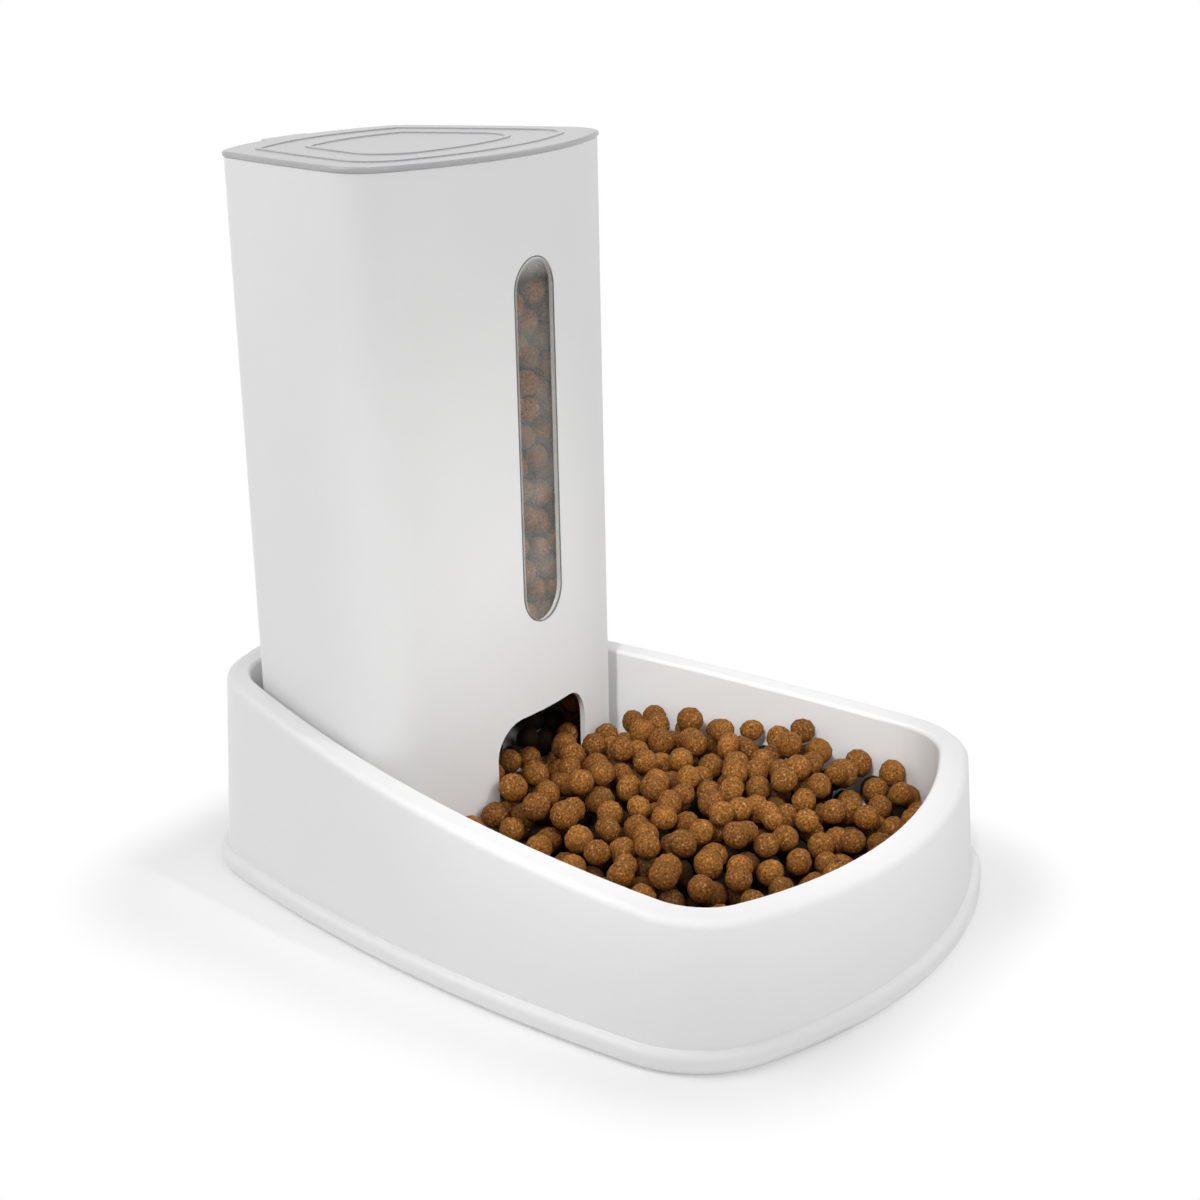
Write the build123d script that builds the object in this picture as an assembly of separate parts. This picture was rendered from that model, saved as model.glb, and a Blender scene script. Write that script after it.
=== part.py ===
"""Gravity pet feeder: a hopper with a window stands in a bowl tray, under a lift-off lid.

Millimetres, +Z up, the bowl towards -Y, the ground at z = 0.
"""

import os
from dataclasses import dataclass
from math import cos, radians, sqrt, tan

from build123d import *

# Tray, seen from above: its skirt where it meets the ground.
TRAY_LENGTH = 300.5
TRAY_WIDTH = 213.4
TRAY_WIDEST = 42.4
TRAY_SIDE_R = 690.0
TRAY_FRONT_R = 192.0
TRAY_BACK_R = 165.5
TRAY_FRONT_CORNER = 39.0
TRAY_BACK_CORNER = 34.0
# Tray, seen from the side: the rim climbs to the back in a shallow arc.
RIM_FRONT_Z = 52.2
RIM_BACK_Z = 84.7
RIM_SAG = 3.5
# Tray, wall section: skirt and bowl wall meet in a wide rounded rim, hollow from below.
RIM_WIDTH = 10.5
RIM_ROUND_OUT = 3.0
RIM_ROUND_IN = 1.5
SKIRT_DRAFT = 3.55
SKIRT_LIFT = 0.8
BOWL_DRAFT = 1.0
BOWL_CORNER = 6.0
TRAY_WALL = 2.4
FLOOR_WALL = 2.6
BEAD_OUT = 3.0
BEAD_HEIGHT = 8.0
BEAD_FLAT = 0.1
# Rubber feet, each in a shallow ring under the floor.
FOOT_HEIGHT = 3.6
FOOT_R = 9.0
FOOT_EDGE = 0.8
FOOT_FIT = 0.3
FOOT_SETBACK = 6.0
FOOT_RING_WALL = 1.6
FOOT_RING_HEIGHT = 1.5
# Hopper: its sides run along the bowl wall, its foot is a narrower spigot on the floor.
HOPPER_TOP = 286.0
HOPPER_DEPTH = 115.7
HOPPER_GAP = 1.2
HOPPER_BACK_GAP = 5.0
HOPPER_FRONT_R = 150.8
HOPPER_BACK_R = 119.0
HOPPER_FRONT_CORNER = 17.1
HOPPER_BACK_CORNER = 10.0
HOPPER_WALL = 2.2
HOPPER_EDGE = 0.6
SPIGOT_HEIGHT = 16.0
SPIGOT_GAP = 0.6
OUTLET_WIDTH = 58.8
OUTLET_TOP = 72.2
OUTLET_CORNER = 14.0
# Locating rib on the tray floor, inside the spigot.
RIB_FIT = 0.4
RIB_WALL = 2.0
RIB_HEIGHT = 7.0
# Sloped hopper floor, dropped in on the ledge over the spigot.
RAMP_ANGLE = 30.0
RAMP_LIP = 2.0
RAMP_WALL = 2.0
RAMP_FIT = 0.4
# Window between the outlet and the hopper's top.
WINDOW_WIDTH = 25.3
WINDOW_DROP = 36.6
WINDOW_RISE = 35.9
WINDOW_PROUD = 0.5
WINDOW_EDGE = 1.2
WINDOW_FIT = 0.15
FLANGE_WIDTH = 4.0
FLANGE_WALL = 1.4
# Lid: a plate over the hopper's edge, with two low ridges, a lip inside and a tab behind.
LID_WALL = 2.0
LID_OVERHANG = 0.6
LID_EDGE = 1.0
LID_LOWER_EDGE = 0.4
LIP_DEPTH = 7.0
LIP_WALL = 1.6
LIP_FIT = 0.4
RIDGE_OUTER = 12.3
RIDGE_INNER = 28.6
RIDGE_WIDTH = 2.4
RIDGE_HEIGHT = 0.45
RIDGE_EDGE = 0.3
RIDGE_FRONT_CORNER = 15.5
RIDGE_BACK_CORNER = 4.0
TAB_WIDTH = 26.0
TAB_OUT = 4.4
TAB_ROOT = 7.0
TAB_CORNER = 3.0
TAB_WALL = 1.7
TAB_EDGE = 0.6
# Smallest corner that an outline keeps as it is moved inwards.
LEAST_CORNER = 1.0
# How far cutting shapes run past what they cut.
CUT = 10.0
# Round and square stock that stands on its place.
ON_TOP = (Align.CENTER, Align.CENTER, Align.MIN)


@dataclass
class End:
    """Front or back of an outline: where its arc lies, the arc's radius and its corners' radius."""

    y: float
    radius: float
    corner: float


@dataclass
class Plan:
    """Outline seen from above: bowed sides, a bowed front and back, and tangent corner arcs."""

    half_width: float
    widest: float
    side_r: float
    front: End
    back: End

    def corner(self, sign, inset):
        """Tip of the end arc, then start, middle and end of the corner arc on the +X side.

        The sign is -1 for the front and 1 for the back. The outline is moved in by the inset.
        """
        end = self.back if sign > 0 else self.front
        corner_r = max(end.corner - inset, LEAST_CORNER)
        end_r = end.radius - inset
        side_r = self.side_r - inset
        end_centre = Vector(0, end.y - sign * end.radius)
        side_centre = Vector(self.half_width - self.side_r, self.widest)
        centre = meeting(side_centre, side_r - corner_r, end_centre, end_r - corner_r, sign)
        start = towards(end_centre, centre, end_r)
        finish = towards(side_centre, centre, side_r)
        middle = towards(centre, (start + finish) / 2, corner_r)
        return Vector(0, end.y - sign * inset), start, middle, finish

    def face(self, inset):
        """Flat face of the outline moved in by the inset, at z = 0."""
        front_tip, f1, f2, f3 = self.corner(-1, inset)
        back_tip, b1, b2, b3 = self.corner(1, inset)
        side_centre = Vector(self.half_width - self.side_r, self.widest)
        side = towards(side_centre, (f3 + b3) / 2, self.side_r - inset)
        right = [
            ThreePointArc(f1, f2, f3),
            ThreePointArc(f3, side, b3),
            ThreePointArc(b3, b2, b1),
        ]
        left = [mirror(arc, about=Plane.YZ) for arc in right]
        front = ThreePointArc(flipped(f1), front_tip, f1)
        back = ThreePointArc(flipped(b1), back_tip, b1)
        return make_face([front, *right, back, *left])

    def prism(self, inset, bottom, top, taper=0.0):
        """Upright solid of the inset outline, which leans in by the taper, in degrees."""
        return extrude(Pos(0, 0, bottom) * self.face(inset), top - bottom, taper=taper)

    def ring(self, inset, wall, bottom, top):
        """Upright band, the wall thick, inside the inset outline."""
        return self.prism(inset, bottom, top) - self.prism(inset + wall, bottom, top)


def flipped(point):
    """The same point on the other side of x = 0."""
    return Vector(-point.X, point.Y)


def towards(centre, point, distance):
    """Point at the distance from the centre, in the direction of another point."""
    return centre + (point - centre).normalized() * distance


def meeting(a, a_r, b, b_r, sign):
    """Where the circles round a and b meet: the meeting point furthest along y, times the sign."""
    apart = (b - a).length
    along = (a_r**2 - b_r**2 + apart**2) / (2 * apart)
    across = sqrt(a_r**2 - along**2)
    line = (b - a).normalized()
    foot_point = a + line * along
    square = Vector(-line.Y, line.X) * across
    return max(foot_point + square, foot_point - square, key=lambda point: sign * point.Y)


def side_cut(face):
    """Solid that the face, drawn in the side view, sweeps across the whole width."""
    return extrude(Plane.YZ * face, TRAY_WIDTH, both=True)


def below_rim(drop):
    """All that lies lower than the rim line, which is let down by the drop."""
    half = TRAY_LENGTH / 2
    rim = ThreePointArc(
        (-half, RIM_FRONT_Z - drop),
        (0, rim_middle - drop),
        (half, RIM_BACK_Z - drop),
    )
    under = Polyline((half, RIM_BACK_Z - drop), (half, -CUT), (-half, -CUT), (-half, RIM_FRONT_Z - drop))
    return side_cut(make_face([rim, under]))


rim_middle = (RIM_FRONT_Z + RIM_BACK_Z) / 2 - RIM_SAG
floor_under = FOOT_HEIGHT
floor_top = floor_under + FLOOR_WALL
skirt_lean = (rim_middle - SKIRT_LIFT) * tan(radians(SKIRT_DRAFT))
bowl_lean = (rim_middle - floor_top) * tan(radians(BOWL_DRAFT))
bowl_inset = skirt_lean + RIM_WIDTH + bowl_lean
tray_plan = Plan(
    half_width=TRAY_WIDTH / 2,
    widest=TRAY_WIDEST - TRAY_LENGTH / 2,
    side_r=TRAY_SIDE_R,
    front=End(-TRAY_LENGTH / 2, TRAY_FRONT_R, TRAY_FRONT_CORNER),
    back=End(TRAY_LENGTH / 2, TRAY_BACK_R, TRAY_BACK_CORNER),
)
hopper_inset = bowl_inset + HOPPER_GAP
hopper_back = tray_plan.back.y - bowl_inset - HOPPER_BACK_GAP
hopper_front = hopper_back - HOPPER_DEPTH
hopper_plan = Plan(
    half_width=tray_plan.half_width - hopper_inset,
    widest=tray_plan.widest,
    side_r=tray_plan.side_r - hopper_inset,
    front=End(hopper_front, HOPPER_FRONT_R, HOPPER_FRONT_CORNER),
    back=End(hopper_back, HOPPER_BACK_R, HOPPER_BACK_CORNER),
)
spigot_step = BOWL_CORNER + SPIGOT_GAP - HOPPER_GAP
shoulder = floor_top + SPIGOT_HEIGHT
ledge = shoulder + HOPPER_WALL
sill = ledge + RAMP_LIP
window_top = HOPPER_TOP - WINDOW_DROP
window_bottom = OUTLET_TOP + WINDOW_RISE
lid_top = HOPPER_TOP + LID_WALL


def foot_spots():
    """Foot centres by corner, inside the flat part of the tray's floor."""
    inset = bowl_inset + BOWL_CORNER + FOOT_R + FOOT_SETBACK
    spots = {}
    for end, sign in (("front", -1), ("back", 1)):
        middle = tray_plan.corner(sign, inset)[2]
        spots[f"foot_{end}_left"] = Pos(-middle.X, middle.Y)
        spots[f"foot_{end}_right"] = Pos(middle.X, middle.Y)
    return spots


def make_tray():
    """Double-walled tray: skirt, rim and bowl in one moulding, open below."""
    over_rim = RIM_BACK_Z + CUT
    bowl = tray_plan.prism(bowl_inset, floor_top, over_rim, -BOWL_DRAFT)
    bowl = fillet(bowl.faces().sort_by(Axis.Z)[0].edges(), BOWL_CORNER)
    tray = tray_plan.prism(0, SKIRT_LIFT, over_rim, SKIRT_DRAFT) & below_rim(0)
    tray -= bowl
    rim = tray.faces().filter_by(GeomType.CYLINDER)[0]
    tray = fillet(rim.outer_wire().edges(), RIM_ROUND_OUT)
    rim = tray.faces().filter_by(GeomType.CYLINDER)[0]
    tray = fillet(rim.inner_wires()[0].edges(), RIM_ROUND_IN)

    bowl_back = tray_plan.prism(bowl_inset - TRAY_WALL, floor_under, over_rim, -BOWL_DRAFT)
    bowl_back = fillet(bowl_back.faces().sort_by(Axis.Z)[0].edges(), BOWL_CORNER + TRAY_WALL)
    hollow = tray_plan.prism(TRAY_WALL, SKIRT_LIFT, over_rim, SKIRT_DRAFT) & below_rim(TRAY_WALL)
    tray -= hollow - bowl_back

    bead_top = SKIRT_LIFT + BEAD_HEIGHT
    bead = tray_plan.prism(-BEAD_OUT, SKIRT_LIFT, bead_top)
    bead_round = min(BEAD_OUT, BEAD_HEIGHT / 2) - BEAD_FLAT
    bead = fillet(bead.edges().filter_by(GeomType.CIRCLE), bead_round)
    bead -= tray_plan.prism(TRAY_WALL / 2, SKIRT_LIFT, bead_top)
    tray += bead

    rib_inset = spigot_step + HOPPER_WALL + RIB_FIT
    tray += hopper_plan.ring(rib_inset, RIB_WALL, floor_under + FLOOR_WALL / 2, floor_top + RIB_HEIGHT)
    ring_r = FOOT_R + FOOT_FIT
    ring = Cylinder(ring_r + FOOT_RING_WALL, FOOT_RING_HEIGHT, align=ON_TOP)
    ring -= Cylinder(ring_r, FOOT_RING_HEIGHT, align=ON_TOP)
    for spot in foot_spots().values():
        tray += spot * Pos(0, 0, floor_under - FOOT_RING_HEIGHT) * ring
    return tray


def front_slot(half_width, bottom, top):
    """Upright bar with round ends, which goes through the hopper's front wall."""
    face = SlotOverall(top - bottom, 2 * half_width, rotation=90)
    place = Pos(0, hopper_front, (bottom + top) / 2)
    return place * extrude(Plane.XZ * face, CUT, both=True)


def make_hopper():
    """Open tube on a narrower spigot, with the window's slot and the outlet's arch."""
    hopper = hopper_plan.prism(0, shoulder, HOPPER_TOP)
    hopper = fillet(hopper.faces().sort_by(Axis.Z)[-1].edges(), HOPPER_EDGE)
    hopper += hopper_plan.prism(spigot_step, floor_top, ledge)
    hopper -= hopper_plan.prism(HOPPER_WALL, ledge, HOPPER_TOP)
    hopper -= hopper_plan.prism(spigot_step + HOPPER_WALL, floor_top, ledge)
    arch = Box(OUTLET_WIDTH, 2 * CUT, OUTLET_TOP - sill, align=ON_TOP)
    arch = fillet(arch.edges().filter_by(Axis.Y).group_by(Axis.Z)[-1], OUTLET_CORNER)
    hopper -= Pos(0, hopper_front, sill) * arch
    return hopper - front_slot(WINDOW_WIDTH / 2, window_bottom, window_top)


def make_hopper_floor():
    """Hollow wedge that fills the hopper's section and slopes down to the outlet's sill."""
    inset = HOPPER_WALL + RAMP_FIT
    front = hopper_front + inset
    rise = HOPPER_DEPTH * tan(radians(RAMP_ANGLE))

    def below_slope(drop):
        """All that lies lower than the slope, which is let down by the drop."""
        slope = Polyline(
            (front, sill - drop),
            (front + HOPPER_DEPTH, sill - drop + rise),
            (front + HOPPER_DEPTH, -CUT),
            (front, -CUT),
            close=True,
        )
        return side_cut(make_face(slope))

    wedge = hopper_plan.prism(inset, ledge, sill + rise) & below_slope(0)
    plate = RAMP_WALL / cos(radians(RAMP_ANGLE))
    return wedge - (hopper_plan.prism(inset + RAMP_WALL, ledge, sill + rise) & below_slope(plate))


def make_window():
    """Clear pad that fills the slot, with a flange behind the front wall, both bowed like it."""
    height = window_top - window_bottom
    axis = Pos(0, hopper_front + HOPPER_FRONT_R, (window_bottom + window_top) / 2)
    flange_r = HOPPER_FRONT_R - HOPPER_WALL - WINDOW_FIT
    pad = front_slot(WINDOW_WIDTH / 2 - WINDOW_FIT, window_bottom + WINDOW_FIT, window_top - WINDOW_FIT)
    pad &= axis * Cylinder(HOPPER_FRONT_R + WINDOW_PROUD, height)
    pad = fillet(pad.faces().sort_by(Axis.Y)[0].edges(), WINDOW_EDGE)
    flange = front_slot(
        WINDOW_WIDTH / 2 + FLANGE_WIDTH,
        window_bottom - FLANGE_WIDTH,
        window_top + FLANGE_WIDTH,
    )
    tall = height + 2 * FLANGE_WIDTH
    flange &= axis * Cylinder(flange_r, tall)
    return pad + flange - axis * Cylinder(flange_r - FLANGE_WALL, tall)


def lid_ridge(inset):
    """Low band with rounded edges, which follows the hopper's outline but has corners of its own."""
    line = Plan(
        half_width=hopper_plan.half_width,
        widest=hopper_plan.widest,
        side_r=hopper_plan.side_r,
        front=End(hopper_front, HOPPER_FRONT_R, inset + RIDGE_FRONT_CORNER),
        back=End(hopper_back, HOPPER_BACK_R, inset + RIDGE_BACK_CORNER),
    )
    ridge = line.ring(inset - RIDGE_WIDTH / 2, RIDGE_WIDTH, lid_top - LID_WALL / 2, lid_top + RIDGE_HEIGHT)
    return fillet(ridge.faces().sort_by(Axis.Z)[-1].edges(), RIDGE_EDGE)


def make_lid():
    """Plate with two ridges, a lip that drops into the hopper and a lift tab."""
    lid = hopper_plan.prism(-LID_OVERHANG, HOPPER_TOP, lid_top)
    lid = fillet(lid.faces().sort_by(Axis.Z)[-1].edges(), LID_EDGE)
    lid = fillet(lid.faces().sort_by(Axis.Z)[0].edges(), LID_LOWER_EDGE)
    tab_length = TAB_ROOT + TAB_OUT
    tab_y = hopper_back + LID_OVERHANG + TAB_OUT - tab_length / 2
    tab = extrude(RectangleRounded(TAB_WIDTH, tab_length, TAB_CORNER), TAB_WALL)
    tab = fillet(tab.faces().sort_by(Axis.Z)[-1].edges(), TAB_EDGE)
    lid += Pos(0, tab_y, HOPPER_TOP) * tab
    for inset in (RIDGE_OUTER, RIDGE_INNER):
        lid += lid_ridge(inset)
    lip_inset = HOPPER_WALL + LIP_FIT
    lip_top = HOPPER_TOP + LID_WALL / 2
    return lid + hopper_plan.ring(lip_inset, LIP_WALL, HOPPER_TOP - LIP_DEPTH, lip_top)


def make_foot():
    """Rubber pad with a chamfered lower edge."""
    foot = Cylinder(FOOT_R, FOOT_HEIGHT, align=ON_TOP)
    return chamfer(foot.faces().sort_by(Axis.Z)[0].edges(), FOOT_EDGE)


nodes = {
    "tray": make_tray(),
    "hopper": make_hopper(),
    "hopper_floor": make_hopper_floor(),
    "window": make_window(),
    "lid": make_lid(),
}
for name, spot in foot_spots().items():
    nodes[name] = spot * make_foot()
os.makedirs("parts", exist_ok=True)
for name, shape in nodes.items():
    export_step(shape, f"parts/{name}.step")
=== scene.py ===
import math

import bmesh
import bpy
import numpy as np
from mathutils import Matrix, Vector
from mathutils.bvhtree import BVHTree


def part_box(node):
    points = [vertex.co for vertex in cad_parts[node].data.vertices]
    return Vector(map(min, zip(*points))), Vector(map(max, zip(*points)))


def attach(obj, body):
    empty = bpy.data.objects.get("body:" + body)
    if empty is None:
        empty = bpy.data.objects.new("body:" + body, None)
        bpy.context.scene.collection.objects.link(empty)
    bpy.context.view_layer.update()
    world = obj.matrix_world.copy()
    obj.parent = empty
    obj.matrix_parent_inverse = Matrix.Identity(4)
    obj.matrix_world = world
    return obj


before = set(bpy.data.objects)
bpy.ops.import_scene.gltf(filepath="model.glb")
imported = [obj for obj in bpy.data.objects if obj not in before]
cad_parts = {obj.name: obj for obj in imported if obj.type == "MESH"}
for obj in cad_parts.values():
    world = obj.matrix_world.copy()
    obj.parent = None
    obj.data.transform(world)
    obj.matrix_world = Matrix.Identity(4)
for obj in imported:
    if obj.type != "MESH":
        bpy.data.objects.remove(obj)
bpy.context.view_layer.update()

# Tray
# The real one is a single thick white polypropylene moulding, open underneath: skirt, rim and bowl
# are one wall that turns over. The mould is finely eroded, so the plastic is satin and even.
MM = 0.001


def linear(code):
    """Linear RGBA of an sRGB hex colour: ((c + 0.055) / 1.055) ** 2.4, or c / 12.92 near black."""
    srgb = np.array([int(code[i : i + 2], 16) for i in (1, 3, 5)]) / 255
    return (*np.where(srgb > 0.04045, ((srgb + 0.055) / 1.055) ** 2.4, srgb / 12.92), 1.0)


def add(material, kind, inputs=(), **settings):
    """Adds a node. An input given as a socket is linked to it, and any other is set on the node."""
    node = material.node_tree.nodes.new("ShaderNode" + kind)
    for name, value in settings.items():
        setattr(node, name, value)
    for name, value in dict(inputs).items():
        if isinstance(value, bpy.types.NodeSocket):
            material.node_tree.links.new(value, node.inputs[name])
        else:
            node.inputs[name].default_value = value
    return node


def finish_of(name):
    """A new material with its shader, and the place on the piece that its patterns read."""
    material = bpy.data.materials.new(name)
    material.use_nodes = True
    place = add(material, "TexCoord").outputs["Object"]
    return material, material.node_tree.nodes["Principled BSDF"], place


def moulded(name, light, dark, grain, flow, roughness, ior):
    """A moulded skin: a fine eroded grain, and broad cloudy patches where the melt cooled unevenly.

    To the eye it is satin and even, a shade lighter and duller in one patch than in the next. The
    grain is about 0.3 mm on such mouldings. It is drawn coarser here, so that it shows.
    """
    material, shader, place = finish_of(name)
    cloud = add(material, "TexNoise", {"Vector": place, "Scale": 1 / flow, "Detail": 2.0})
    colour = add(
        material,
        "Mix",
        {"Factor": cloud.outputs["Fac"], "A": linear(dark), "B": linear(light)},
        data_type="RGBA",
    )
    sheen = add(
        material,
        "MapRange",
        {"Value": cloud.outputs["Fac"], "To Min": roughness[0], "To Max": roughness[1]},
    )
    speck = add(material, "TexNoise", {"Vector": place, "Scale": 1 / grain, "Detail": 3.0})
    bump = add(
        material,
        "Bump",
        {"Height": speck.outputs["Fac"], "Strength": 0.12, "Distance": 0.05 * MM},
    )
    links = material.node_tree.links
    links.new(colour.outputs["Result"], shader.inputs["Base Color"])
    links.new(sheen.outputs["Result"], shader.inputs["Roughness"])
    links.new(bump.outputs["Normal"], shader.inputs["Normal"])
    shader.inputs["IOR"].default_value = ior
    return material


def dress(material, *names):
    """Puts the material on the named solids, in the slots that they have."""
    for name in names:
        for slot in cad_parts[name].material_slots:
            slot.material = material


white_polypropylene = moulded(
    "white_polypropylene", "#f0f0f0", "#ececec", 0.9 * MM, 60 * MM, (0.42, 0.5), 1.49
)
dress(white_polypropylene, "tray")

# Feet
# Four soft pads, cut from black rubber sheet and pressed into shallow rings under the tray's floor.
# They are matt and a little dusty.
soft_rubber = moulded("soft_rubber", "#2b2b2b", "#1f1f1f", 0.6 * MM, 8 * MM, (0.75, 0.9), 1.52)
dress(soft_rubber, "foot_front_left", "foot_front_right", "foot_back_left", "foot_back_right")

# Hopper and its floor
# A tall tube of the same white polypropylene, and a sloped insert that drops onto the ledge inside
# it. Both come off the mould with the same satin skin as the tray.
dress(white_polypropylene, "hopper", "hopper_floor")

# Window
# A clear polystyrene pad, glued into the slot from behind. Handling and food dust have made it
# slightly milky, most of all above the food. Its cut edge is painted dark, a painted shade, and a
# painted highlight makes a light line beside it; both stand in for refraction at the pad's edge.
HAZE_TOP = 0.095
HAZE_FOOT = 0.125
HAZE_ABOVE = 0.42
NOISE_MEAN = 0.5
DUST_CLOUD = 14 * MM
FLANGE = 4 * MM
FOOD_BELOW = 11 * MM
# Cosines of the tilt from the front at which the painted light line and the painted dark edge begin
# and are full.
ROUND_TILT = (0.985, 0.9)
CUT_TILT = (0.74, 0.66)
EDGE_SHOWN = 1.5 * MM
EDGE_SOFT = 0.3 * MM
# Opacity of the painted light line and of the painted dark edge.
PAINTED_LINE_OPACITY = 0.25
PAINTED_EDGE_OPACITY = 0.45
window_low, window_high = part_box("window")
slot_top = window_high.z - FLANGE
fill_level = slot_top - FOOD_BELOW
clear_polystyrene, shader, place = finish_of("clear_polystyrene")
links = clear_polystyrene.node_tree.links
spot = add(clear_polystyrene, "SeparateXYZ", {"Vector": place})
facing = add(clear_polystyrene, "SeparateXYZ", {"Vector": place.node.outputs["Normal"]})
square = add(clear_polystyrene, "Math", {0: facing.outputs["Y"]}, operation="ABSOLUTE")
# Painted highlight: where the rounded edge turns from the front, it gets a light, more opaque line.
painted_light_line = add(
    clear_polystyrene,
    "MapRange",
    {"Value": square.outputs[0], "From Min": ROUND_TILT[0], "From Max": ROUND_TILT[1]},
)
steep = add(
    clear_polystyrene,
    "MapRange",
    {"Value": square.outputs[0], "From Min": CUT_TILT[0], "From Max": CUT_TILT[1]},
)
near_front = add(
    clear_polystyrene,
    "MapRange",
    {
        "Value": spot.outputs["Y"],
        "From Min": window_low.y + EDGE_SHOWN + EDGE_SOFT,
        "From Max": window_low.y + EDGE_SHOWN,
    },
)
# Painted shade: the cut edge near the front face is made dark grey and more opaque.
painted_dark_edge = add(
    clear_polystyrene,
    "Math",
    {0: steep.outputs[0], 1: near_front.outputs[0]},
    operation="MULTIPLY",
)
# The milky haze colour, a touch cooler on the painted light line.
haze_and_painted_line = add(
    clear_polystyrene,
    "Mix",
    {"Factor": painted_light_line.outputs[0], "A": linear("#f0efe8"), "B": linear("#f0f2ee")},
    data_type="RGBA",
)
tone = add(
    clear_polystyrene,
    "Mix",
    {"Factor": painted_dark_edge.outputs[0], "A": haze_and_painted_line.outputs["Result"], "B": linear("#686c69")},
    data_type="RGBA",
)
links.new(tone.outputs["Result"], shader.inputs["Base Color"])
dust = add(
    clear_polystyrene, "TexNoise", {"Vector": place, "Scale": 1 / DUST_CLOUD, "Detail": 4.0}
)
height = add(
    clear_polystyrene,
    "MapRange",
    {
        "Value": spot.outputs["Z"],
        "From Min": window_low.z,
        "From Max": window_high.z,
        "To Min": HAZE_FOOT / NOISE_MEAN,
        "To Max": HAZE_TOP / NOISE_MEAN,
    },
)
unrubbed = add(
    clear_polystyrene,
    "MapRange",
    {
        "Value": spot.outputs["Z"],
        "From Min": fill_level,
        "From Max": slot_top,
        "To Max": HAZE_ABOVE / NOISE_MEAN,
    },
)
dusty = add(
    clear_polystyrene,
    "Math",
    {0: height.outputs[0], 1: unrubbed.outputs[0]},
    operation="MAXIMUM",
)
milky = add(
    clear_polystyrene,
    "Math",
    {0: dust.outputs["Fac"], 1: dusty.outputs[0]},
    operation="MULTIPLY",
)
lined = add(
    clear_polystyrene,
    "Math",
    {0: painted_light_line.outputs[0], 1: PAINTED_LINE_OPACITY, 2: milky.outputs[0]},
    operation="MULTIPLY_ADD",
)
solid = add(
    clear_polystyrene,
    "Math",
    {0: painted_dark_edge.outputs[0], 1: PAINTED_EDGE_OPACITY, 2: lined.outputs[0]},
    operation="MULTIPLY_ADD",
)
links.new(solid.outputs[0], shader.inputs["Alpha"])
shader.inputs["Roughness"].default_value = 0.12
shader.inputs["IOR"].default_value = 1.59
dress(clear_polystyrene, "window")

# Lid
# A thin grey polyethylene plate, soft enough to flex, with two low ridges on top and a plug lip
# underneath. Its skin is smoother than the white plastic's, so it looks lighter where it is seen
# flat on.
grey_polyethylene = moulded(
    "grey_polyethylene", "#bbbabc", "#b4b3b5", 0.8 * MM, 30 * MM, (0.2, 0.28), 1.47
)
dress(grey_polyethylene, "lid")

# Food
# Baked kibble, near round and about 10 mm across, a few of them drawn out like a peanut. One heap
# lies in the bowl, and one lines the hopper behind the window and runs out through the outlet.
KIBBLE_R = 5.6 * MM
KIBBLE_SPREAD = 0.08
# Places tried for each kibble, and how many in a row find none before a heap is done.
TRIES = 300
MISSES = 40
DIRECTIONS = 181
# Share of its radius that a kibble's middle keeps from the walls.
WALL_SHARE = 0.97


def walls_of(*names):
    """One search tree over the surfaces of the named solids."""
    corners = []
    faces = []
    for name in names:
        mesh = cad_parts[name].data
        faces += [[len(corners) + i for i in face.vertices] for face in mesh.polygons]
        corners += [vertex.co for vertex in mesh.vertices]
    return BVHTree.FromPolygons(corners, faces)


def reach_of(walls, centre):
    """Distance from the centre to the walls, level, at evenly spread angles."""
    angles = np.linspace(-np.pi, np.pi, DIRECTIONS)
    rays = np.column_stack((np.cos(angles), np.sin(angles), np.zeros(DIRECTIONS)))
    return angles, np.array([walls.ray_cast(centre, Vector(ray))[3] for ray in rays])


def poured(rng, walls, centre, within, start, top, spots, radii):
    """Centres and radii of kibbles, with more dropped one by one until the heap has its height.

    Each is tried at random places between the walls, no further from the centre than within. At a
    place it falls until it touches the floor or a kibble below. Over one at height z, of radius s
    and d aside, its middle comes to rest at z + sqrt((r + s) ** 2 - d ** 2). It stays at the place
    that lies furthest below the finished top and is clear of the walls.
    """
    angles, reach = reach_of(walls, Vector(centre))
    misses = 0
    while misses < MISSES:
        radius = KIBBLE_R * (1 + KIBBLE_SPREAD * rng.uniform(-1, 1))
        angle = rng.uniform(-np.pi, np.pi, TRIES)
        wide = np.minimum(np.interp(angle, angles, reach) - radius, within)
        out = wide * np.sqrt(rng.random(TRIES))
        x = centre[0] + out * np.cos(angle)
        y = centre[1] + out * np.sin(angle)
        aside = np.hypot(x[:, None] - spots[:, 0], y[:, None] - spots[:, 1])
        touch = radii + radius
        rise = np.sqrt(np.maximum(touch**2 - aside**2, 0))
        over = np.where(aside < touch, spots[:, 2] + rise, 0)
        z = np.maximum(start(x, y, radius), over.max(axis=1, initial=0))
        misses += 1
        for i in np.argsort(z - top(x, y)):
            if z[i] > top(x[i], y[i]):
                break
            spot = Vector((x[i], y[i], z[i]))
            if walls.find_nearest(spot)[3] > WALL_SHARE * radius:
                spots = np.vstack((spots, spot))
                radii = np.append(radii, radius)
                misses = 0
                break
    return spots, radii


def kibble_shape():
    """A ball of 80 triangles: an icosahedron, each face cut in four and its corners on the ball."""
    mesh = bpy.data.meshes.new("kibble_shape")
    shape = bmesh.new()
    bmesh.ops.create_icosphere(shape, subdivisions=2, radius=1)
    shape.to_mesh(mesh)
    shape.free()
    corners = np.array([vertex.co for vertex in mesh.vertices])
    faces = np.array([face.vertices for face in mesh.polygons])
    bpy.data.meshes.remove(mesh)
    return corners, faces


SHRINK = 0.95
STRETCH = (0.94, 1.06)
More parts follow.
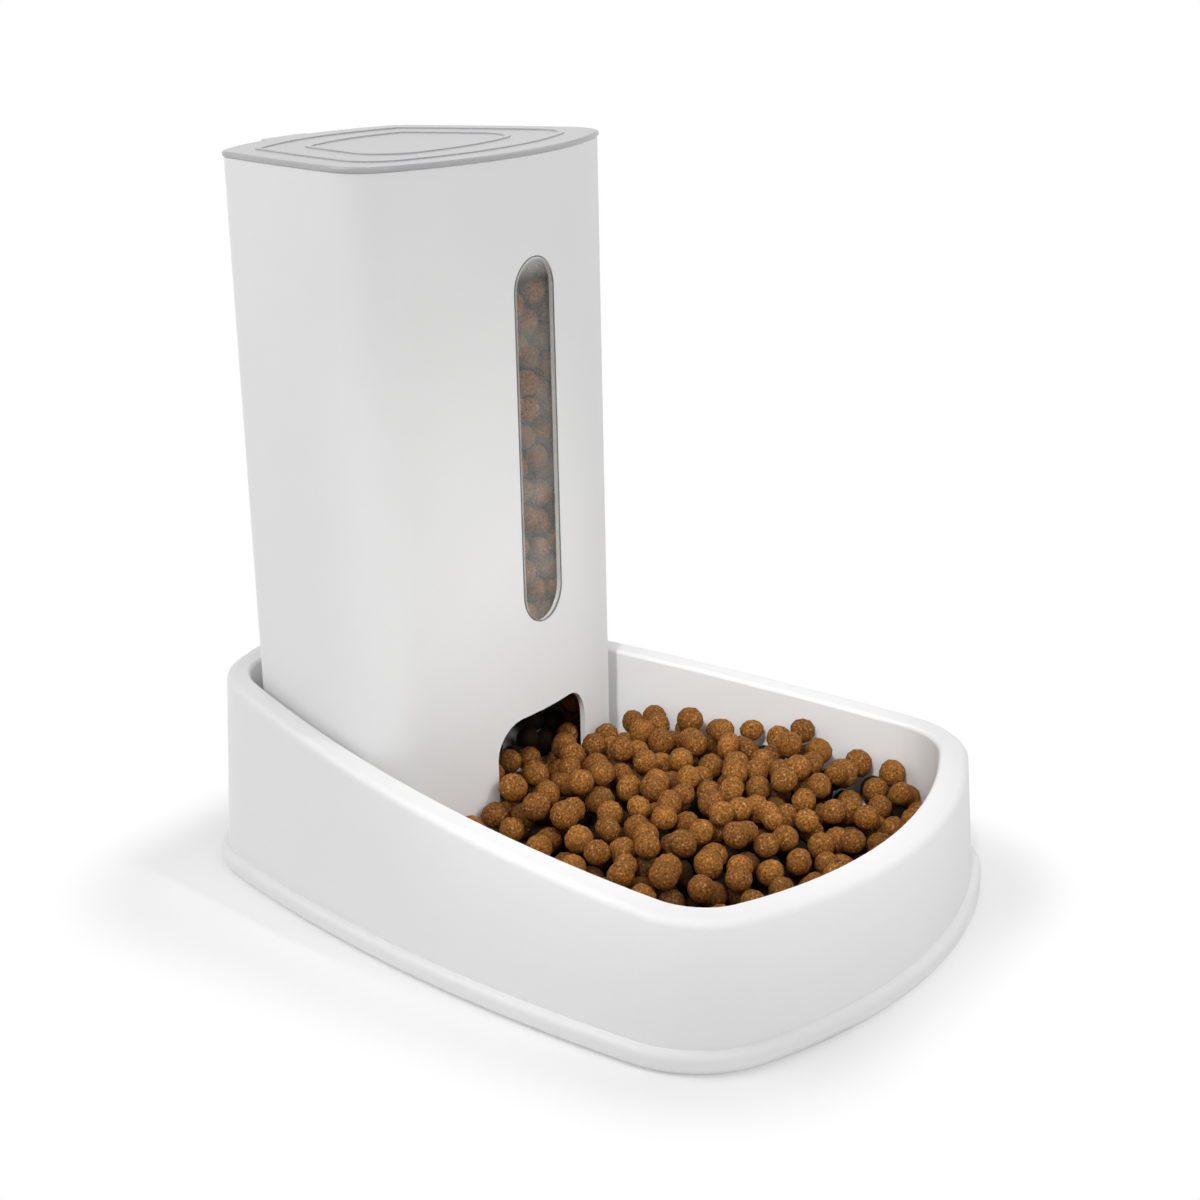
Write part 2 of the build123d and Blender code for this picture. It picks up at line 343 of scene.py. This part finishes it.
# A few kibbles, where the walls leave this many radii of room, are drawn out by this much.
DRAWN_SHARE = 0.1
DRAWN_ROOM = 1.4
DRAWN_BY = (0.1, 0.3)
WAIST_DEPTH = 0.5
WAIST_TIGHT = 3
DENTS = 4
DENT_DEPTH = 0.025
DENT_WAVES = 1.6
DENT_PHASE = 6


def heap_of(name, rng, spots, radii, walls, buried):
    """One mesh of all the kibbles, each turned, stretched and dented by its own draw.

    A corner u of the ball becomes spot + radius * turn(stretch * u * (shrink + dents of u)). The
    dents are a sum of sines along random directions. A kibble that is drawn out along its x axis
    also has a waist, which is its depth times exp(-(tightness * u_x) ** 2).
    """
    corners, faces = kibble_shape()
    count = len(spots)
    turn = np.linalg.qr(rng.normal(size=(count, 3, 3)))[0]
    room = np.array([walls.find_nearest(Vector(spot))[3] for spot in spots])
    chosen = (room > DRAWN_ROOM * radii) & (rng.random(count) < DRAWN_SHARE)
    drawn = np.where(chosen, rng.uniform(*DRAWN_BY, count), 0)
    stretch = rng.uniform(*STRETCH, (count, 1, 3))
    stretch[:, 0, 0] += drawn
    waist = WAIST_DEPTH * drawn[:, None] * np.exp(-((WAIST_TIGHT * corners[:, 0]) ** 2))
    waves = rng.normal(size=(count, 3, DENTS)) * DENT_WAVES
    phase = rng.uniform(0, DENT_PHASE, (count, 1, DENTS))
    dents = DENT_DEPTH * np.sin(corners @ waves + phase).sum(axis=2) - waist
    ball = corners * stretch * (SHRINK + dents)[..., None]
    points = spots[:, None] + radii[:, None, None] * (ball @ turn)
    cells = faces + np.arange(count)[:, None, None] * len(corners)
    mesh = bpy.data.meshes.new(name)
    mesh.from_pydata(points.reshape(-1, 3), [], cells.reshape(-1, 3).tolist())
    mesh.polygons.foreach_set("use_smooth", np.ones(len(mesh.polygons), bool))
    for label, values in {"bake": rng.random(count), "buried": buried}.items():
        attribute = mesh.attributes.new(label, "FLOAT", "POINT")
        shared = np.repeat(values, len(corners)).astype(np.float32)
        attribute.data.foreach_set("value", shared)
    heap = bpy.data.objects.new(name, mesh)
    bpy.context.scene.collection.objects.link(heap)
    return heap


# Ground meal and fat, pressed and baked: a dull brown crust, baked a little more or less from one
# kibble to the next, with a grain of pale flecks and dark pits. Real grain is about 0.4 mm and is
# drawn twice as coarse, so that it shows. A kibble that lies under others gets a darker brown, a
# painted shade that stands in for the deep shade between real ones.
MOTTLE = 3.5 * MM
MEAL = 0.85 * MM
PIT = 0.4 * MM
baked_kibble, shader, place = finish_of("baked_kibble")
bake = add(baked_kibble, "Attribute", attribute_name="bake").outputs["Fac"]
crust = add(
    baked_kibble,
    "Mix",
    {"Factor": bake, "A": linear("#744a1e"), "B": linear("#a0692d")},
    data_type="RGBA",
)
mottle = add(baked_kibble, "TexNoise", {"Vector": place, "Scale": 1 / MOTTLE, "Detail": 4.0})
patch = add(
    baked_kibble,
    "Mix",
    {"Factor": mottle.outputs["Fac"], "A": crust.outputs["Result"], "B": linear("#633c12")},
    data_type="RGBA",
)
meal = add(baked_kibble, "TexNoise", {"Vector": place, "Scale": 1 / MEAL, "Detail": 3.0})
grain = add(
    baked_kibble,
    "MapRange",
    {
        "Value": meal.outputs["Fac"],
        "From Min": 0.3,
        "From Max": 0.72,
        "To Min": 0.35,
        "To Max": 1.95,
    },
)
ground = add(
    baked_kibble,
    "VectorMath",
    {0: patch.outputs["Result"], "Scale": grain.outputs["Result"]},
    operation="SCALE",
)
fleck = add(
    baked_kibble,
    "MapRange",
    {"Value": meal.outputs["Fac"], "From Min": 0.62, "From Max": 0.78, "To Max": 0.5},
)
flecked = add(
    baked_kibble,
    "Mix",
    {"Factor": fleck.outputs["Result"], "A": ground.outputs["Vector"], "B": linear("#e4cfae")},
    data_type="RGBA",
)
# Painted shade: buried kibbles are mixed toward a near-black brown.
shade_weight = add(baked_kibble, "Attribute", attribute_name="buried").outputs["Fac"]
shaded = add(
    baked_kibble,
    "Mix",
    {"Factor": shade_weight, "A": flecked.outputs["Result"], "B": linear("#1c1004")},
    data_type="RGBA",
)
rough = add(
    baked_kibble,
    "Bump",
    {"Height": meal.outputs["Fac"], "Strength": 0.8, "Distance": PIT},
)
links = baked_kibble.node_tree.links
links.new(shaded.outputs["Result"], shader.inputs["Base Color"])
links.new(rough.outputs["Normal"], shader.inputs["Normal"])
shader.inputs["Roughness"].default_value = 0.7
shader.inputs["Specular IOR Level"].default_value = 0.15

POUR_SEED = 23
SILL = 2 * MM
OUTLET_HALF = 29 * MM
OUTLET_FILL = 52 * MM
OUTLET_FALL = 0.5
BOWL_FILL = 45.5 * MM
BOWL_TILT = 0.03
LEFT_EDGE = -10 * MM
LEFT_FALL = 0.08
FRONT_EDGE = -65 * MM
FRONT_FALL = 0.3
BOWL_LEVEL = 45 * MM
# Depth in a heap, in radii, past which a kibble counts as buried and gets painted shade.
BURIED_FROM = 1.4
rng = np.random.default_rng(POUR_SEED)
tray_low, tray_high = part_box("tray")
hopper_low, hopper_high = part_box("hopper")
ramp_low, ramp_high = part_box("hopper_floor")
sill = ramp_low.z + SILL
slope = (ramp_high.z - sill) / (ramp_high.y - ramp_low.y)
walls = walls_of("tray", "hopper", "hopper_floor", "window")


def on_ramp(y, radius):
    """Height of a kibble's centre on the sill and on the sloped floor behind it."""
    return sill + np.maximum((y - ramp_low.y) * slope, 0) + radius * math.hypot(1, slope)


def bowl_start(x, y, radius):
    """Height of a kibble's centre on the bowl's floor, or past the outlet on the hopper's.

    None lies with its middle just outside the outlet or beside the hopper's corners, where it would
    hang in the air when the hopper is lifted.
    """
    inside = y > hopper_low.y
    through = (y > hopper_low.y - radius) & (np.abs(x) < OUTLET_HALF)
    past = np.where(inside, on_ramp(y, radius), tray_high.z)
    front = np.where(inside, tray_high.z, hopper_low.z + radius)
    return np.where(through, past, front)


def bowl_top(x, y):
    """Finished height of the bowl's kibble centres: a low mound that rises to the outlet.

    It is the higher of two: a nearly level bed that falls off past its left and front edges, and a
    cone that falls from the outlet's fill with the distance from the outlet.
    """
    fall = LEFT_FALL * np.maximum(LEFT_EDGE - x, 0) + FRONT_FALL * np.maximum(FRONT_EDGE - y, 0)
    bed = BOWL_FILL + BOWL_TILT * x - fall
    aside = np.hypot(x, np.minimum(y - hopper_low.y, 0))
    return np.maximum(bed, OUTLET_FILL - OUTLET_FALL * np.maximum(aside - OUTLET_HALF, 0))


def painted_shade(deep):
    """Painted shade: 0 for a kibble near its heap's surface, and 1 for one that lies a radius
    deeper.
    """
    return np.clip(deep / KIBBLE_R - BURIED_FROM, 0, 1)


bowl_middle = (0.0, (tray_low.y + hopper_low.y) / 2, BOWL_LEVEL)
spots, radii = poured(
    rng, walls, bowl_middle, np.inf, bowl_start, bowl_top, np.empty((0, 3)), np.empty(0)
)
running = (spots[:, 1] > hopper_low.y - radii) & (np.abs(spots[:, 0]) < OUTLET_HALF)
deep = np.minimum(bowl_top(spots[:, 0], spots[:, 1]) - spots[:, 2], hopper_low.y - spots[:, 1])
bowl_food = heap_of(
    "bowl_food", rng, spots[~running], radii[~running], walls, painted_shade(deep)[~running]
)
bowl_food.data.materials.append(baked_kibble)
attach(bowl_food, "tray")


VOID_TOP = 84 * MM
VOID_DEPTH = 34 * MM
SHELL = 30 * MM
LINING = 2.5 * MM
LINING_MIDDLE = 13 * MM
LINING_REACH = 26 * MM
HOPPER_LEVEL = 150 * MM
# Height of the waves on top of the food, and radians of a wave to the metre, across and along.
TOP_WAVE = 6 * MM
WAVE_ACROSS = 40
WAVE_ALONG = 50


def hopper_start(x, y, radius):
    """Height of a kibble's centre on the sloped floor, over the void or on the unseen core."""
    void = (y < hopper_low.y + VOID_DEPTH) & (np.abs(x) < OUTLET_HALF + radius)
    core = np.where(y > hopper_low.y + SHELL, fill_level - SHELL, 0)
    return np.maximum(np.maximum(on_ramp(y, radius), core), np.where(void, VOID_TOP, 0))


def hopper_top(x, y):
    """Finished height of the hopper's kibble centres: nearly level, with a low wave each way."""
    return fill_level - TOP_WAVE * np.cos(WAVE_ACROSS * x) * np.cos(WAVE_ALONG * y)


def lining_start(x, y, radius):
    """The same for the kibbles that lie against the window, and out of reach behind them."""
    return np.where(y > window_high.y + radius + LINING, hopper_high.z, hopper_start(x, y, radius))


behind_window = (0.0, hopper_low.y + LINING_MIDDLE, HOPPER_LEVEL)
spots, radii = poured(
    rng,
    walls,
    behind_window,
    LINING_REACH,
    lining_start,
    hopper_top,
    spots[running],
    radii[running],
)
hopper_middle = (0.0, (hopper_low.y + hopper_high.y) / 2, HOPPER_LEVEL)
spots, radii = poured(rng, walls, hopper_middle, np.inf, hopper_start, hopper_top, spots, radii)
deep = np.minimum(hopper_top(spots[:, 0], spots[:, 1]) - spots[:, 2], spots[:, 1] - window_high.y)
hopper_food = heap_of("hopper_food", rng, spots, radii, walls, painted_shade(deep))
hopper_food.data.materials.append(baked_kibble)
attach(hopper_food, "hopper")

# Floor, light and camera
# A sheet of white paper that burns out to white close around the feeder, in an even light tent.
# Soft lamps keep the walls equally light, and three narrow ones open up the bowl and the outlet.
FLOOR_R = 6.0
FLOOR_SIDES = 96
FADE_CENTRE = (-2 * MM, 8 * MM, 0.0)
FADE_CORE = (62 * MM, 102 * MM, 0.0)
FADE_START = 46 * MM
FADE_END = 88 * MM
FADE_LEAST = 0.3
TENT_LEVEL = 0.22
floor_mesh = bpy.data.meshes.new("floor")
ring = np.linspace(0, 2 * np.pi, FLOOR_SIDES, endpoint=False)
floor_points = np.column_stack((FLOOR_R * np.cos(ring), FLOOR_R * np.sin(ring), 0 * ring))
floor_mesh.from_pydata(floor_points, [], [list(range(len(ring)))])
floor = bpy.data.objects.new("floor", floor_mesh)
bpy.context.scene.collection.objects.link(floor)


def seen_by(tree):
    """1 for rays from the camera, and for those that a gloss or a clear piece sends on."""
    paths = add(tree, "LightPath")
    sent_on = add(
        tree,
        "Math",
        {0: paths.outputs["Is Glossy Ray"], 1: paths.outputs["Is Transmission Ray"]},
        operation="MAXIMUM",
    )
    return add(
        tree,
        "Math",
        {0: paths.outputs["Is Camera Ray"], 1: sent_on.outputs[0]},
        operation="MAXIMUM",
    ).outputs[0]


paper, shader, place = finish_of("white_paper")
shader.inputs["Base Color"].default_value = linear("#fafafa")
shader.inputs["Roughness"].default_value = 0.9
shader.inputs["Specular IOR Level"].default_value = 0.0
# Distance from a box around the middle: the length of max(|place - centre| - core, 0).
off = add(paper, "VectorMath", {0: place, 1: FADE_CENTRE}, operation="SUBTRACT")
spread = add(paper, "VectorMath", {0: off.outputs[0]}, operation="ABSOLUTE")
beyond = add(paper, "VectorMath", {0: spread.outputs[0], 1: FADE_CORE}, operation="SUBTRACT")
outside = add(paper, "VectorMath", {0: beyond.outputs[0]}, operation="MAXIMUM")
away = add(paper, "VectorMath", {0: outside.outputs[0]}, operation="LENGTH")
fade = add(
    paper,
    "MapRange",
    {
        "Value": away.outputs["Value"],
        "From Min": FADE_START,
        "From Max": FADE_END,
        "To Min": FADE_LEAST,
    },
    interpolation_type="SMOOTHSTEP",
)
shown = add(paper, "Math", {0: fade.outputs[0], 1: seen_by(paper)}, operation="MULTIPLY")
blank = add(paper, "Emission")
sweep = add(paper, "MixShader", {0: shown.outputs[0], 1: shader.outputs[0], 2: blank.outputs[0]})
surface = paper.node_tree.nodes["Material Output"].inputs["Surface"]
paper.node_tree.links.new(sweep.outputs[0], surface)
floor_mesh.materials.append(paper)

world = bpy.data.worlds.new("light_tent")
bpy.context.scene.world = world
world.use_nodes = True
tent = world.node_tree.nodes["Background"]
tent.inputs["Color"].default_value = (1.0, 1.0, 1.0, 1.0)
bright = add(world, "MapRange", {"Value": seen_by(world), "To Min": TENT_LEVEL, "To Max": 1.0})
world.node_tree.links.new(bright.outputs[0], tent.inputs["Strength"])


def from_angle(azimuth, elevation):
    """Direction to a lamp or the camera. Azimuth 0 is the feeder's front, and -90 its left."""
    a, e = math.radians(azimuth), math.radians(elevation)
    return Vector((math.sin(a) * math.cos(e), -math.cos(a) * math.cos(e), math.sin(e)))


LAMP_DISTANCE = 1.6
LAMP_SIZE = 1.2
SNOOT_SIZE = 0.1
AIM = Vector((0, 0, 130 * MM))
# Azimuth and elevation in degrees and power in watts. A narrow lamp also has the place that it
# lights and that place's radius, in millimetres.
SOFT_LAMPS = {
    "left": (-140, 40, 11.6),
    "side": (-100, 25, 1.2),
    "front": (-20, 30, 8.3),
    "right": (60, 35, 3.8),
    "back": (125, 40, 1.5),
}
NARROW_LAMPS = {
    "bowl_lamp": (-70, 40, 165.0, (80, -36, 44), 85),
    "outlet_lamp": (5, 45, 105.0, (-24, 12, 42), 58),
    "heap_lamp": (-60, 75, 74.0, (-6, -45, 50), 66),
}


def hang(name, kind, azimuth, elevation, energy, aim):
    """Hangs a lamp at its angle, turned to what it lights."""
    lamp = bpy.data.objects.new(name, bpy.data.lights.new(name, kind))
    lamp.data.energy = energy
    toward = from_angle(azimuth, elevation)
    turn = toward.to_track_quat("Z", "Y").to_matrix().to_4x4()
    lamp.matrix_world = Matrix.Translation(aim + LAMP_DISTANCE * toward) @ turn
    bpy.context.scene.collection.objects.link(lamp)
    return lamp.data


for name, (azimuth, elevation, energy) in SOFT_LAMPS.items():
    lamp = hang(name, "AREA", azimuth, elevation, energy, AIM)
    lamp.shape = "DISK"
    lamp.size = LAMP_SIZE
for name, (azimuth, elevation, energy, aim, radius) in NARROW_LAMPS.items():
    lamp = hang(name, "SPOT", azimuth, elevation, energy, Vector(aim) * MM)
    lamp.spot_size = 2 * math.atan(radius * MM / LAMP_DISTANCE)
    lamp.spot_blend = 1.0
    lamp.shadow_soft_size = SNOOT_SIZE

# The camera was fitted to the photograph's outlines: its focal length in pixels, and its place from
# the aim.
FOCAL_PX = 2116.5
PHOTO_PX = 1200
AZIMUTH = -55.730
ELEVATION = 18.154
ROLL = math.radians(-1.233)
DISTANCE = 806.162 * MM
ASIDE = 9.773 * MM
ABOVE = -10.886 * MM
back = from_angle(AZIMUTH, ELEVATION)
right = Vector((0, 0, 1)).cross(back).normalized()
up = back.cross(right)
eye = AIM + back * DISTANCE + right * ASIDE + up * ABOVE
level_axis = right * math.cos(ROLL) + up * math.sin(ROLL)
upright = up * math.cos(ROLL) - right * math.sin(ROLL)
camera = bpy.data.objects.new("camera", bpy.data.cameras.new("camera"))
camera.data.sensor_width = 36.0
camera.data.lens = FOCAL_PX / PHOTO_PX * camera.data.sensor_width
turned = Matrix((level_axis, upright, back)).transposed().to_4x4()
camera.matrix_world = Matrix.Translation(eye) @ turned
bpy.context.scene.collection.objects.link(camera)
bpy.context.scene.camera = camera
bpy.context.scene.view_settings.view_transform = "Standard"
